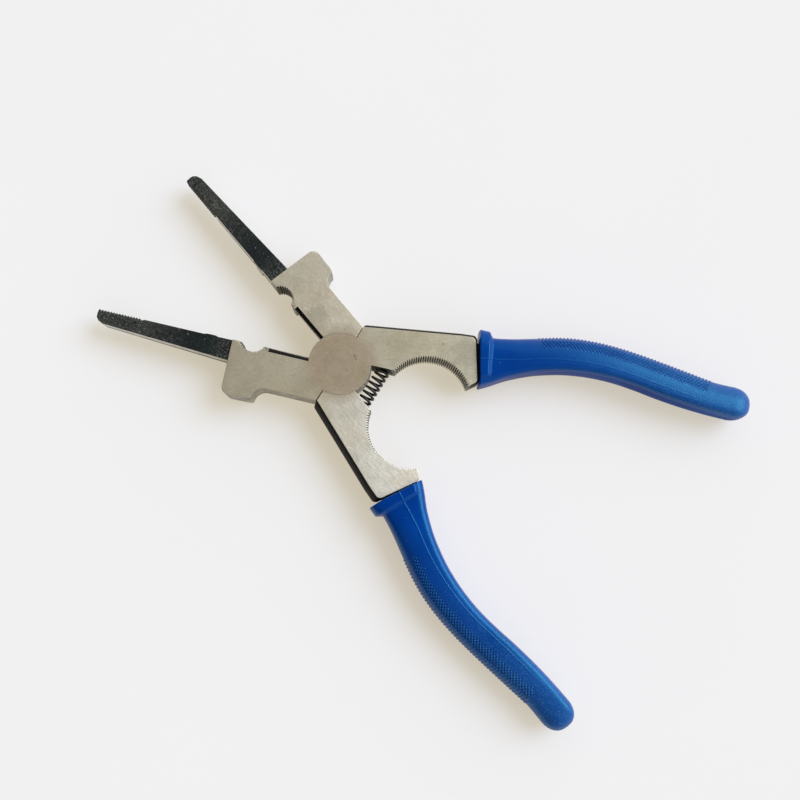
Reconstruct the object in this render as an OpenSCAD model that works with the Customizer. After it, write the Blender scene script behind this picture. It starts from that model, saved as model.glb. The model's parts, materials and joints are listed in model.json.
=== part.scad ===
// Spring-loaded welding pliers: long serrated noses, a wire cutter, a round tip notch,
// spatter-hammer bosses, toothed nozzle arcs behind the joint, and moulded grips.
//
// The two halves are the same forging, one turned over, lapped and riveted together.
// Each half is drawn closed, with its mid-plane at z = 0 and its jaw on +Y, and then
// swung open. In the finished frame the pivot axis is Z, the origin lies where that
// axis meets the back ground face, and +X runs along the centreline to the noses.

/* [Joint] */
// Angle between the jaws as modelled, open against the stop shoulders
opening_angle = 36.8; // [30:0.1:36.8]
// Thickness of the head across its two ground faces
head_thickness = 10; // [9:0.5:12]
// Radius of the half-thickness disc on each half
disc_radius = 9.8; // [9.4:0.1:10]
// Gap between a disc and the recess it turns in
joint_gap = 0.1; // [0.05:0.01:0.2]
// Radius of the rivet's shank
rivet_radius = 3.5; // [3:0.1:4]
// Radius of the rivet's flush countersunk heads
rivet_head_radius = 4.6; // [4.4:0.1:5.2]

/* [Jaw] */
// Distance from the pivot to the nose tip
nose_tip_x = 78; // [70:1:84]
// Distance from the pivot to the front of the full-thickness head
head_front_x = 34.4; // [33.5:0.1:35.5]
// Thickness of the nose where it leaves the head
nose_root_thickness = 8.4; // [7:0.1:8.8]
// Thickness of the nose at its tip
nose_tip_thickness = 5.2; // [4:0.1:6]
// Width of the nose at its tip, before the corner is taken off
nose_tip_width = 4.5; // [3.5:0.1:5]
// Width of the nose at its root
nose_root_width = 6.8; // [6:0.1:8]
// Height of the hammer boss above the centreline
boss_height = 17.5; // [16.5:0.1:18.5]
// Height of the neck between the boss and the joint
neck_height = 13; // [12:0.1:13.4]
// Radius of the round notch that grips a contact tip
notch_radius = 4.4; // [4:0.1:4.6]

/* [Shank] */
// Radius of the toothed arc that grips a nozzle, at the roots of its teeth
arc_radius = 14; // [13:0.1:14.4]
// Teeth round one nozzle arc
arc_teeth = 38; // [20:1:44]
// Depth of the nozzle teeth
arc_tooth_depth = 0.4; // [0.2:0.05:0.6]
// How far the forged mid-plane stands out past the ground face along the shank
shank_draft = 1.4; // [0.4:0.1:2]

/* [Spring] */
// Outside diameter of the return spring
spring_diameter = 4.8; // [4:0.1:4.8]
// Diameter of the spring wire
spring_wire = 0.75; // [0.5:0.05:0.8]
// Length of the spring with the jaws open
spring_length = 14.8; // [14:0.1:15]
// Coils that move, between the closed end coils
spring_coils = 7; // [5:1:8]

/* [Grip] */
// Half the thickness of the grip behind its collar
grip_half_height = 6.1; // [5.5:0.1:6.5]
// How far the collar stands proud of the grip
collar_rise = 2; // [0.8:0.1:2.4]
// Wall left between the tang and the outside of the grip
grip_wall = 2.6; // [2.2:0.1:3]

/* [Hidden] */
$fn = 96;
past = 1;                      // how far a cutting shape runs past what it cuts
half_thickness = head_thickness / 2;
closed_gap = 0.25;             // lands of a jaw stand off the centreline by this much

// Stops: a jaw's shoulder meets the other half's shank shoulder just past the rest pose
widest_opening = 36.8;
stop_clearance = 0.6;          // degrees left on each shoulder
shoulder_angle = 90 - widest_opening / 2 - stop_clearance;
shank_front_y = -14.7;

// Wire cutter, tip notch and their lands, along the inner edge of a jaw
cutter_front_x = 22.6;
cutter_setback = 1.45;         // the ground face stops this far from the centreline
cutter_edge_y = 0.1;           // the cutting edge stands off the centreline by this much
cutter_edge_z = 4.3;           // both edges lie near the front ground face
cutter_back_y = 1.7;           // a long bevel runs from the edge back to this at the far face
land_front_x = 24.3;
notch_centre = [28, -1.4];
notch_teeth = 13;
notch_tooth_depth = 0.3;

// Hammer boss
boss_rear_x = 24.4;
boss_corner_radius = 2.5;
boss_undercut_radius = 3.9;

// Nose
nose_tooth_pitch = 0.93;
nose_teeth = 14;
nose_tooth_depth = 0.4;
tip_corner = 2.6;              // length taken off the nose's outer corner
nose_overlap = 3;              // the nose runs back this far inside the head

// Shank and nozzle arc
arc_centre = [-29.1, 4.8];
shank_inner_y = -1.8;
arc_end_y = -2.6;              // the arc runs on this far down at the shank's end
shank_rear = [[-41.5, -3.1], [-42.8, -4.3], [-43, -5.2]];   // inner end of the rear face
shank_rear_outer = [-39.8, -19.4];
shank_rear_corner = 1.7;
shank_draft_start_z = 0.7;

// Grip: pairs of points, outer edge and inner edge, from the collar to the rounded end
stations = [
    [[-40.5, -19.5], [-44.2, -3.4]],
    [[-45.5, -19.9], [-47.5, -5.2]],
    [[-51.5, -21.2], [-52.6, -8.3]],
    [[-58.6, -23.2], [-58.9, -11.2]],
    [[-65.5, -25.0], [-64.7, -13.1]],
    [[-72.0, -26.1], [-70.7, -14.5]],
    [[-79.0, -26.5], [-78.0, -15.4]],
    [[-86.0, -26.3], [-85.5, -15.5]],
    [[-93.5, -25.6], [-93.0, -14.8]],
    [[-101.5, -24.6], [-100.5, -13.7]],
    [[-109.5, -23.5], [-108.5, -12.8]],
    [[-116.5, -22.6], [-116.0, -12.3]],
    [[-123.5, -22.6], [-123.5, -12.1]]
];
last_station = len(stations) - 1;
grip_end_half_height = 5.4;
grip_end_length = 5.6;
collar_length = 0.68;          // in stations
collar_chamfer = 0.28;         // in stations
collar_top_share = 0.42;       // of the rise, on the top and the underside
box_power = 5;                 // near the collar the section is a rounded box
oval_power = 2.3;              // at the end it is an oval
ring_sides = 32;
tang_end = 10.6;               // in stations
tang_half_thickness = 3;
tang_clearance = 0.1;
tang_overlap = 3;              // the tang starts this far inside the shank

// Spring and the pockets that hold its ends
spring_x = -12.4;
pocket_x = -13.8;
pocket_radius = 2.85;
pocket_depth = 2.3;
end_coil_pitch = 1.15;         // in wire diameters
wire_sides = 8;
steps_per_coil = 14;

steel = [0.66, 0.64, 0.59];
black_steel = [0.10, 0.11, 0.12];
blue = [0.03, 0.27, 0.62];

// ---- points and curves ----

function polar(radius, angle) = radius * [cos(angle), sin(angle)];

function arc(centre, radius, from, to, steps) =
    [for (i = [0 : steps]) centre + polar(radius, from + (to - from) * i / steps)];

// An arc whose points step between the root radius and the crest radius
function toothed_arc(centre, radius, depth, from, to, teeth) =
    [for (i = [0 : 2 * teeth])
        centre + polar(radius - (i % 2) * depth, from + (to - from) * i / (2 * teeth))];

// Catmull-Rom interpolation of a list of points at a fractional index
function pick(list, i) = list[max(0, min(len(list) - 1, i))];
function spline(list, t) =
    let (i = min(floor(t), len(list) - 2), f = t - i,
         a = pick(list, i - 1), b = pick(list, i), c = pick(list, i + 1), d = pick(list, i + 2))
    0.5 * (2 * b + (c - a) * f + (2 * a - 5 * b + 4 * c - d) * f * f
           + (3 * b - a - 3 * c + d) * f * f * f);

outer_edge = [for (s = stations) s[0]];
inner_edge = [for (s = stations) s[1]];
function blend(from, to, share) = from + (to - from) * max(0, min(1, share));

// ---- outlines of one half, closed ----

notch_reach = acos((notch_centre[1] - closed_gap) / -notch_radius);   // from straight up

function head_outline() = concat(
    [polar(disc_radius - past, shoulder_angle), [disc_radius / 2, cutter_edge_y]],
    [[cutter_front_x, cutter_edge_y], [cutter_front_x, closed_gap], [land_front_x - 0.3, closed_gap]],
    toothed_arc(notch_centre, notch_radius, notch_tooth_depth,
                90 + notch_reach, 90 - notch_reach, notch_teeth),
    [[head_front_x, closed_gap]],
    arc([head_front_x - 0.4 - boss_corner_radius, boss_height - boss_corner_radius],
        boss_corner_radius, 0, 90, 10),
    [[boss_rear_x + 0.3, boss_height - 0.2]],
    arc([boss_rear_x - boss_undercut_radius, neck_height + boss_undercut_radius],
        boss_undercut_radius, 0, -90, 12),
    [polar(neck_height / sin(shoulder_angle), shoulder_angle)]
);

function nose_teeth_points() = [for (i = [0 : 2 * nose_teeth])
    [nose_tip_x - (2 * nose_teeth - i) * nose_tooth_pitch / 2,
     closed_gap / 2 + (i % 2) * nose_tooth_depth]];

function nose_outline() = concat(
    [[head_front_x - nose_overlap, closed_gap]],
    nose_teeth_points(),
    [[nose_tip_x, nose_tip_width - tip_corner + 0.7],
     [nose_tip_x - 0.7, nose_tip_width - tip_corner / 2 + 0.2],
     [nose_tip_x - tip_corner, nose_tip_width]],
    [[head_front_x, nose_root_width], [head_front_x - nose_overlap, nose_root_width]]
);

arc_start = asin((shank_inner_y - arc_centre[1]) / arc_radius);
arc_end = -180 - asin((arc_end_y - arc_centre[1]) / arc_radius);

function shank_outline() = concat(
    [polar(disc_radius - past, 180 + 10), [-disc_radius, shank_inner_y]],
    toothed_arc(arc_centre, arc_radius, arc_tooth_depth, arc_start, arc_end, arc_teeth),
    shank_rear,
    // rounded corner between the rear face and the outer edge
    arc(shank_rear_outer + shank_rear_corner * [1, 1], shank_rear_corner, 190, 262, 8),
    [polar(shank_front_y / sin(-180 + shoulder_angle), -180 + shoulder_angle)],
    [polar(disc_radius - past, -180 + shoulder_angle)]
);

// The tang follows the grip, a wall's width inside it; grow widens it for the cavity
function tang_side(outer, grow) = [for (i = [0 : 2 * tang_end])
    let (t = i / 2, o = spline(outer_edge, t), n = spline(inner_edge, t), across = (n - o) / norm(n - o))
    outer ? o + across * (grip_wall - grow) : n - across * (grip_wall - grow)];
function reversed(list) = [for (i = [len(list) - 1 : -1 : 0]) list[i]];
function tang_outline(grow) = let (o = tang_side(true, grow), n = tang_side(false, grow)) concat(
    [o[0] + [tang_overlap, 0.6]], o, reversed(n), [n[0] + [tang_overlap, -0.4]]);

// ---- sub-shapes of one half ----

module slab(half_height) {
    translate([0, 0, -half_height]) linear_extrude(2 * half_height) children();
}

// The space to take away on both sides of the wire cutter's edge; face is 1 where the
// tool's front is at +z and -1 where it is at -z
module cutter_bevels(face) {
    length = cutter_front_x - disc_radius / 2;
    outline = [[cutter_edge_y, cutter_edge_z], [cutter_setback, half_thickness],
               [cutter_setback, half_thickness + past], [-past, half_thickness + past],
               [-past, -half_thickness - past], [cutter_back_y, -half_thickness - past],
               [cutter_back_y, -half_thickness]];
    translate([disc_radius / 2, 0, 0]) rotate([90, 0, 90]) linear_extrude(length)
        polygon([for (p = outline) [p[0], face * p[1]]]);
}

module head(face) {
    difference() {
        slab(half_thickness) polygon(head_outline());
        cutter_bevels(face);
    }
}

// The nose is the outline cut to a thickness that tapers to the tip
module nose() {
    back = head_front_x - nose_overlap;
    intersection() {
        slab(half_thickness) polygon(nose_outline());
        translate([0, 2 * boss_height, 0]) rotate([90, 0, 0]) linear_extrude(4 * boss_height)
            polygon([[back, -nose_root_thickness / 2], [nose_tip_x, -nose_tip_thickness / 2],
                     [nose_tip_x, nose_tip_thickness / 2], [back, nose_root_thickness / 2]]);
    }
}

// The space outside the sloping, as-forged side of the shank, above its mid-plane
module shank_side() {
    front = polar(shank_front_y / sin(-180 + shoulder_angle), -180 + shoulder_angle);
    along = shank_rear_outer - front;
    translate([front[0], front[1], 0]) rotate([0, 0, atan2(along[1], along[0])])
        translate([-past, 0, 0]) rotate([90, 0, 90]) linear_extrude(norm(along) + 2 * past)
            polygon([[0, shank_draft_start_z], [-shank_draft, half_thickness],
                     [-shank_draft, half_thickness + past], [past, half_thickness + past],
                     [past, shank_draft_start_z]]);
}

module shank() {
    difference() {
        slab(half_thickness) polygon(shank_outline());
        shank_side();
        mirror([0, 0, 1]) shank_side();
    }
}

// Shank and countersunk heads of the rivet; grow makes the hole for it
module rivet_shape(grow) {
    r = rivet_radius + grow;
    head_r = rivet_head_radius + grow;
    head_depth = rivet_head_radius - rivet_radius;
    top = half_thickness + (grow > 0 ? past : 0);
    rotate_extrude() polygon([
        [0, -top], [head_r, -top], [head_r, -half_thickness], [r, -half_thickness + head_depth],
        [r, half_thickness - head_depth], [head_r, half_thickness], [head_r, top], [0, top]]);
}

module spring_pocket() {
    translate([pocket_x, shank_inner_y + past, 0]) rotate([90, 0, 0])
        cylinder(r = pocket_radius, h = pocket_depth + past);
}

// One forged half: full thickness in the jaw and the shank, half thickness in the disc
module forging(face) {
    difference() {
        union() {
            translate([0, 0, joint_gap / 2])
                cylinder(r = disc_radius, h = half_thickness - joint_gap / 2);
            difference() {
                union() {
                    head(face);
                    nose();
                    shank();
                    slab(tang_half_thickness) polygon(tang_outline(0));
                }
                translate([0, 0, -half_thickness - past])
                    cylinder(r = disc_radius + joint_gap, h = half_thickness + past + joint_gap / 2);
            }
        }
        rivet_shape(joint_gap / 2);
        spring_pocket();
    }
}

// ---- the grip ----

// Share of the collar's full rise at a station
function collar_share(t) = t <= collar_length ? 1 : 1 - min(1, (t - collar_length) / collar_chamfer);

// One closed ring of the grip: t is the station, and lift and shrink round its far end
function grip_ring(t, lift, shrink) =
    let (o = spline(outer_edge, t), n = spline(inner_edge, t), across = (o - n) / norm(o - n),
         along = [across[1], -across[0]], share = t / last_station, rise = collar_rise * collar_share(t),
         middle = (o + n) / 2 + across * rise / 2 + along * lift,
         half_width = (norm(o - n) + rise) / 2,
         half_height = blend(grip_half_height, grip_end_half_height, share) + collar_top_share * rise,
         power = 2 / blend(box_power, oval_power, 3 * share))
    [for (i = [0 : ring_sides - 1])
        let (a = 360 * i / ring_sides, c = cos(a), s = sin(a),
             w = sign(c) * pow(abs(c), power) * half_width * shrink,
             h = sign(s) * pow(abs(s), power) * half_height * shrink)
        [middle[0] + across[0] * w, middle[1] + across[1] * w, h]];

ring_stations = [0, collar_length, collar_length + collar_chamfer,
                 for (i = [3 : 2 * last_station]) i / 2];
end_angles = [20, 40, 58, 72, 82];

function grip_rings() = concat(
    [for (t = ring_stations) grip_ring(t, 0, 1)],
    [for (a = end_angles) grip_ring(last_station, grip_end_length * sin(a), pow(cos(a), 0.8))]);

// A closed tube through rings that all have the same number of points
module skin(rings) {
    sides = len(rings[0]);
    points = [for (ring = rings) each ring];
    last = (len(rings) - 1) * sides;
    walls = [for (k = [0 : len(rings) - 2], i = [0 : sides - 1])
        let (j = (i + 1) % sides, a = k * sides, b = a + sides)
        each [[a + i, a + j, b + j], [a + i, b + j, b + i]]];
    ends = [[for (i = [sides - 1 : -1 : 0]) i], [for (i = [0 : sides - 1]) last + i]];
    polyhedron(points, concat(walls, ends));
}

module grip() {
    difference() {
        skin(grip_rings());
        slab(tang_half_thickness + tang_clearance) polygon(tang_outline(tang_clearance));
    }
}

// ---- the spring ----

wire_radius = spring_wire / 2;
end_turns = 1;
all_turns = spring_coils + 2 * end_turns;
end_rise = end_turns * spring_wire * end_coil_pitch;
active_length = spring_length - spring_wire - 2 * end_rise;

// Height along the spring after a number of turns: close-wound ends, even coils between
function spring_height(turn) =
    turn < end_turns ? turn * spring_wire * end_coil_pitch
    : turn > all_turns - end_turns
      ? active_length + end_rise + (turn - all_turns + end_turns) * spring_wire * end_coil_pitch
      : end_rise + (turn - end_turns) * active_length / spring_coils;

function wire_ring(turn) =
    let (a = 360 * turn, r = spring_diameter / 2 - wire_radius,
         y = spring_height(turn) + wire_radius - spring_length / 2)
    [for (i = [0 : wire_sides - 1]) let (b = 360 * i / wire_sides, q = r + wire_radius * cos(b))
        [spring_x + q * cos(a), y + wire_radius * sin(b), q * sin(a)]];

module spring() {
    skin([for (i = [0 : all_turns * steps_per_coil]) reversed(wire_ring(i / steps_per_coil))]);
}

// ---- placing the pieces ----

module in_frame() {
    translate([0, 0, half_thickness]) children();
}
module front_side() {
    in_frame() rotate([0, 0, opening_angle / 2]) children();
}
module back_side() {
    in_frame() rotate([0, 0, -opening_angle / 2]) rotate([180, 0, 0]) children();
}

module front_half() { color(steel) front_side() forging(1); }
module back_half() { color(steel) back_side() forging(-1); }
module pivot_rivet() { color(steel) in_frame() rivet_shape(0); }
module return_spring() { color(black_steel) in_frame() spring(); }
module front_grip() { color(blue) front_side() grip(); }
module back_grip() { color(blue) back_side() grip(); }

front_half();
back_half();
pivot_rivet();
return_spring();
front_grip();
back_grip();
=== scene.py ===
"""The looks of the welding pliers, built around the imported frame.

Each half is made closed, in millimetres: origin on the pivot axis at the mid-plane of the
head, +X to the nose, the half's own jaw on +Y. HALVES then swings it open and, for the
back half, turns it over, exactly as the design does.
"""

import json
import math

import bmesh
import bpy
import numpy as np
from mathutils import Matrix, Vector


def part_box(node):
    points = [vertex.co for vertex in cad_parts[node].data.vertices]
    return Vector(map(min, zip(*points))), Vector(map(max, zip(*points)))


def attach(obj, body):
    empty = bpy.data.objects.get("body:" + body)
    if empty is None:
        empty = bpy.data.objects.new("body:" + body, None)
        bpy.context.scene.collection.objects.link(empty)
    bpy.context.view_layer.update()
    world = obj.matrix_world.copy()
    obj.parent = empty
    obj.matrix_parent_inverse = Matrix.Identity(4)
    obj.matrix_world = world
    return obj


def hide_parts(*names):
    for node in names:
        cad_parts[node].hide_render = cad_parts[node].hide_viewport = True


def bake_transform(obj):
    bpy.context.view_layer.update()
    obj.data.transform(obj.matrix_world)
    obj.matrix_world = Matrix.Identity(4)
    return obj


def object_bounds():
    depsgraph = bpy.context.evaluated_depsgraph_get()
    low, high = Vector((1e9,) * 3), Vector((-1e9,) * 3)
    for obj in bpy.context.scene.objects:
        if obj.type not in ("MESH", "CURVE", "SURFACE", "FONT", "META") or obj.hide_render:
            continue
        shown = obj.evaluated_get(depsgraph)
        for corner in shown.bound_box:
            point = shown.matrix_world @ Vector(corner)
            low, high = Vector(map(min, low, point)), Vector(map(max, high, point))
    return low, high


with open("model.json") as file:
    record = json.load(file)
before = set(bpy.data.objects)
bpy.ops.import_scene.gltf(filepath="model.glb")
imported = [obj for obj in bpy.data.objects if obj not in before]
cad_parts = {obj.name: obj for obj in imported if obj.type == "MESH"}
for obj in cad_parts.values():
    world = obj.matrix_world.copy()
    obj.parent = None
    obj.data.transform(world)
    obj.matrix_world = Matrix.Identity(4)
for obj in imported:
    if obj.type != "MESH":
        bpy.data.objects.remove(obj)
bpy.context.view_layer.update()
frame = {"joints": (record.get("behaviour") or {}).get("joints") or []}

# ---- driving dimensions, in millimetres and degrees ----

MM = 0.001
OPENING = -frame["joints"][0]["range_deg"][0]
head_bottom, head_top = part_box("front_half")
HEAD_HALF = (head_top.z - head_bottom.z) / 2 / MM

DISC_R = 9.8
JOINT_GAP = 0.1
RIVET_R = 3.5
RIVET_HEAD_R = 4.6
RIVET_PLAY = 0.015
SHOULDER_PLAY = 0.6
SHOULDER = 90 - OPENING / 2 - SHOULDER_PLAY  # the way that the joint's shoulders point
UNDER_DISC = DISC_R - 1  # the jaw's and the shank's outlines start inside the disc

NOSE_TIP = 78.4
HEAD_FRONT = 34.4
NOSE_BACK = 31.4
NOSE_HALVES = (4.2, 2.6)
BOSS_TOP = 17.5
NECK_TOP = 13.0
LAND = 0.25
CUTTER_BACK = 9
CUTTER_FRONT = 22.6
# the cutter in cross-section: levels as shares of the half thickness, and the way to the middle
CUTTER_LEVELS = (-1, 0.86, 0.88, 1)
CUTTER_SETBACKS = (1.7, 0.1, 0.3, 1.5)
NOTCH = (28.0, -1.4)
NOTCH_R = 4.4
NOTCH_DEPTH = 0.4
NOTCH_TEETH = 13
NOSE_TEETH = 15
NOSE_DEPTH = 0.75
NOSE_PITCH = 0.93
NOSE_LAND = 0.14
TEETH_START = NOSE_TIP - NOSE_TEETH * NOSE_PITCH

SEAT = -1.8
ARC_END = -2.6
ARC_CENTRE = (-29.1, 4.8)
ARC_R = 14.0
ARC_DEPTH = 0.6
ARC_TEETH = 38
# by face, as forging has it: how much longer the ground face of the shank is than the plain one,
# and how far it stops short of the shank's outer side
SHANKS = {1: (0, 1.4), -1: (0.6, 1.9)}
SHANK_REAR = -43.0
REAR_REACH = 0.7
REAR_CORNER_R = 1.7
REAR_STEPS = 8
OUTER_CORNER_Y = -14.7

POCKET_X = -13.8
POCKET_R = 2.85
POCKET_DEPTH = 2.3
TANG_HALF = 3.0
TANG_WALL = 2.6
TANG_END = 10.5  # in stations of the grip
SOCKET_PLAY = 0.25

# the forging's material slots
GROUND, SCALE, SIDE, CUT, TOOTH, NOSE_SIDE, EDGE = range(7)

# outer edge and inner edge of the grip, from the collar to the rounded end
GRIP_OUTER = [(-40.5, -19.5), (-45.5, -19.9), (-51.5, -21.2), (-58.6, -23.2), (-65.5, -25.0),
              (-72.0, -26.1), (-79.0, -26.5), (-86.0, -26.3), (-93.5, -25.6), (-101.5, -24.6),
              (-109.5, -23.5), (-116.5, -22.6), (-123.5, -22.6)]
GRIP_INNER = [(-44.2, -3.4), (-47.5, -5.2), (-52.6, -8.3), (-58.9, -11.2), (-64.7, -13.1),
              (-70.7, -14.5), (-78.0, -15.4), (-85.5, -15.5), (-93.0, -14.8), (-100.5, -13.7),
              (-108.5, -12.8), (-116.0, -12.3), (-123.5, -12.1)]
LAST = len(GRIP_OUTER) - 1

# ---- curves ----


def polar(radius, angle):
    """The point at a radius and an angle in degrees."""
    return (radius * math.cos(math.radians(angle)), radius * math.sin(math.radians(angle)))


def arc(centre, radius, start, stop, steps):
    """Points round an arc, from one angle to another."""
    return [(centre[0] + p[0], centre[1] + p[1]) for p in
            (polar(radius, start + (stop - start) * i / steps) for i in range(steps + 1))]


def toothed_arc(centre, radius, depth, start, stop, teeth):
    """Flat-topped teeth round an arc: the roots at the radius, the crests a depth inside it."""
    tooth = ((0.0, 0), (0.14, 0), (0.36, 1), (0.78, 1))
    marks = [(i + share, crest) for i in range(teeth) for share, crest in tooth] + [(teeth, 0)]
    points = []
    for at, crest in marks:
        x, y = polar(radius - depth * crest, start + (stop - start) * at / teeth)
        points.append((centre[0] + x, centre[1] + y))
    return points


def spline(points, t):
    """Catmull-Rom through the points at fractional indices t, an array."""
    points = np.array(points, float)
    t = np.atleast_1d(np.asarray(t, float))
    i = np.clip(np.floor(t).astype(int), 0, len(points) - 2)
    f = (t - i)[:, None]
    a, b, c, d = (points[np.clip(i + k, 0, len(points) - 1)] for k in (-1, 0, 1, 2))
    return 0.5 * (2 * b + (c - a) * f + (2 * a - 5 * b + 4 * c - d) * f**2
                  + (3 * b - a - 3 * c + d) * f**3)


def smooth(x, low, high):
    """A smooth step from 0 at the low end to 1 at the high one."""
    x = np.clip((np.asarray(x, float) - low) / (high - low), 0, 1)
    return x * x * (3 - 2 * x)


# ---- meshes ----


def mesh_piece(name, points, faces):
    """A mesh object whose faces all look outwards."""
    mesh = bpy.data.meshes.new(name)
    mesh.from_pydata([tuple(map(float, p)) for p in points], [], faces)
    piece = bpy.data.objects.new(name, mesh)
    bpy.context.scene.collection.objects.link(piece)
    b = bmesh.new()
    b.from_mesh(mesh)
    bmesh.ops.recalc_face_normals(b, faces=b.faces)
    b.to_mesh(mesh)
    b.free()
    return piece


def ring_faces(rings, sides):
    """Quads between rings of the same number of points."""
    faces = []
    for k in range(rings - 1):
        a = k * sides
        for i in range(sides):
            j = (i + 1) % sides
            faces.append((a + i, a + j, a + sides + j, a + sides + i))
    return faces


def skin(name, rings):
    """A closed tube through rings, an array of rings by points by three."""
    rings = np.asarray(rings, float)
    count, sides = rings.shape[:2]
    faces = ring_faces(count, sides)
    faces.append(tuple(range(sides - 1, -1, -1)))
    faces.append(tuple(range((count - 1) * sides, count * sides)))
    return mesh_piece(name, rings.reshape(-1, 3), faces)


def outward(outline):
    """Unit normals of a closed outline at its points, lengthened at corners up to a limit."""
    here = np.asarray(outline, float)
    area = np.sum(here[:, 0] * np.roll(here[:, 1], -1) - here[:, 1] * np.roll(here[:, 0], -1))
    edge = np.roll(here, -1, 0) - here
    edge /= np.linalg.norm(edge, axis=1)[:, None]
    side = np.stack([edge[:, 1], -edge[:, 0]], 1) * np.sign(area)
    total = side + np.roll(side, 1, 0)
    sharpest = 0.35
    return total / np.maximum((total**2).sum(1) / 2, sharpest)[:, None]


# a prism's rings from its top down: height as shares of the half thickness and of the edge, and
# the inset in edges
PRISM_EDGE = [(1, 0, 1), (1, -0.3, 0.3), (1, -1, 0)]
PRISM_SIDE = [(share, 0, 0) for share in (0.88, 0.86, 0.72, 0.55, 0.35, 0.12)]


def prism(name, outline, half, edge=0.12, bulge=(0, 0), reshape=None):
    """An outline as thick as twice half, with rounded edges and sides that may bulge.

    The bulge is full at the mid-plane and curves in to nothing at the two faces."""
    base = np.asarray(outline, float)
    normal = outward(base)
    half = np.broadcast_to(np.asarray(half, float), len(base))
    bulge = np.broadcast_to(np.asarray(bulge, float), base.shape)
    flatness, roundness = 2.2, 0.8
    top = PRISM_EDGE + PRISM_SIDE
    rings = []
    for a, b, inset in top + [(-a, -b, inset) for a, b, inset in reversed(top)]:
        z = a * half + b * edge
        fullness = (1 - np.abs(z / half) ** flatness) ** roundness
        ring = base + bulge * fullness[:, None] - normal * inset * edge
        if reshape:
            ring = reshape(ring, z)
        rings.append(np.column_stack([ring, z]))
    return skin(name, rings)


def lathe(name, profile, steps=128):
    """A closed profile of radius and height, from axis to axis, turned about Z."""
    rings = [[(r * math.cos(a), r * math.sin(a), z) for r, z in profile[1:-1]]
             for a in (2 * math.pi * i / steps for i in range(steps))]
    points = [p for ring in rings for p in ring] + [(0, 0, profile[0][1]), (0, 0, profile[-1][1])]
    n = len(profile) - 2
    low, high = steps * n, steps * n + 1
    faces = []
    for i in range(steps):
        a, b = i * n, (i + 1) % steps * n
        faces += [(a + k, b + k, b + k + 1, a + k + 1) for k in range(n - 1)]
        faces += [(low, b, a), (high, a + n - 1, b + n - 1)]
    return mesh_piece(name, points, faces)


def combine(target, other, operation):
    """Applies an exact boolean and removes the other object."""
    step = target.modifiers.new("step", "BOOLEAN")
    step.operation = operation
    step.solver = "EXACT"
    step.object = other
    graph = bpy.context.evaluated_depsgraph_get()
    graph.update()
    made = bpy.data.meshes.new_from_object(target.evaluated_get(graph))
    target.modifiers.clear()
    old, target.data = target.data, made
    bpy.data.meshes.remove(old)
    bpy.data.objects.remove(other)


def clean(piece):
    """Merges the slivers that booleans leave and splits the faces of many sides into triangles."""
    sliver = 0.004
    flat = math.radians(0.3)
    b = bmesh.new()
    b.from_mesh(piece.data)
    bmesh.ops.remove_doubles(b, verts=b.verts, dist=sliver)
    bmesh.ops.dissolve_degenerate(b, edges=b.edges, dist=sliver)
    bmesh.ops.dissolve_limit(b, angle_limit=flat, verts=b.verts, edges=b.edges,
                             delimit={"MATERIAL"})
    bmesh.ops.triangulate(b, faces=[f for f in b.faces if len(f.verts) > 4], ngon_method="BEAUTY")
    b.to_mesh(piece.data)
    b.free()


def soften(piece):
    """Smooth shading with sharp edges past an angle, and normals led by the large faces."""
    sharp = math.radians(40)
    for polygon in piece.data.polygons:
        polygon.use_smooth = True
    b = bmesh.new()
    b.from_mesh(piece.data)
    for e in b.edges:
        e.smooth = e.is_manifold and e.calc_face_angle(0) < sharp
    b.to_mesh(piece.data)
    b.free()
    weighted = piece.modifiers.new("normals", "WEIGHTED_NORMAL")
    weighted.keep_sharp = True


def in_metres(piece, placing):
    """Puts a piece made in millimetres in its place."""
    piece.data.transform(Matrix.Scale(MM, 4) @ placing)
    piece.data.update()


LIFT = Matrix.Translation((0, 0, HEAD_HALF))
HALVES = {
    "front": LIFT @ Matrix.Rotation(math.radians(OPENING / 2), 4, "Z"),
    "back": LIFT @ Matrix.Rotation(math.radians(-OPENING / 2), 4, "Z")
    @ Matrix.Rotation(math.pi, 4, "X"),
}

# ---- the forging ----


def jaw_outline():
    """The jaw from the joint forward and back over its hammer boss, and the cutter's points."""
    reach = math.degrees(math.acos((NOTCH[1] - LAND) / -NOTCH_R))
    corner = 2.5
    undercut = 3.9
    rear = 24.4
    points = [polar(UNDER_DISC, SHOULDER), (DISC_R / 2, LAND)]
    points += [(u, LAND) for u in np.linspace(CUTTER_BACK, CUTTER_FRONT, 8)]
    cut = len(points)
    points += [(CUTTER_FRONT + 0.02, LAND), (24.0, LAND)]
    points += toothed_arc(NOTCH, NOTCH_R, NOTCH_DEPTH, 90 + reach, 90 - reach, NOTCH_TEETH)
    points += [(HEAD_FRONT, LAND)]
    points += arc((HEAD_FRONT - 0.4 - corner, BOSS_TOP - corner), corner, 0, 90, 10)
    points += [(rear + 0.5, BOSS_TOP - 0.25), (rear + 0.1, BOSS_TOP - 0.6)]
    points += arc((rear - undercut, NECK_TOP + undercut), undercut, 0, -90, 14)
    points += [polar(NECK_TOP / math.sin(math.radians(SHOULDER)), SHOULDER)]
    return points, range(1, cut)


def cutter_shape(face, indices):
    """The cutting edge near the front face, with a short bevel over it and a long one below."""
    def reshape(ring, z):
        setback = np.interp(face * z, HEAD_HALF * np.array(CUTTER_LEVELS), CUTTER_SETBACKS)
        ring[indices, 1] = setback[indices]
        return ring
    return reshape


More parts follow.
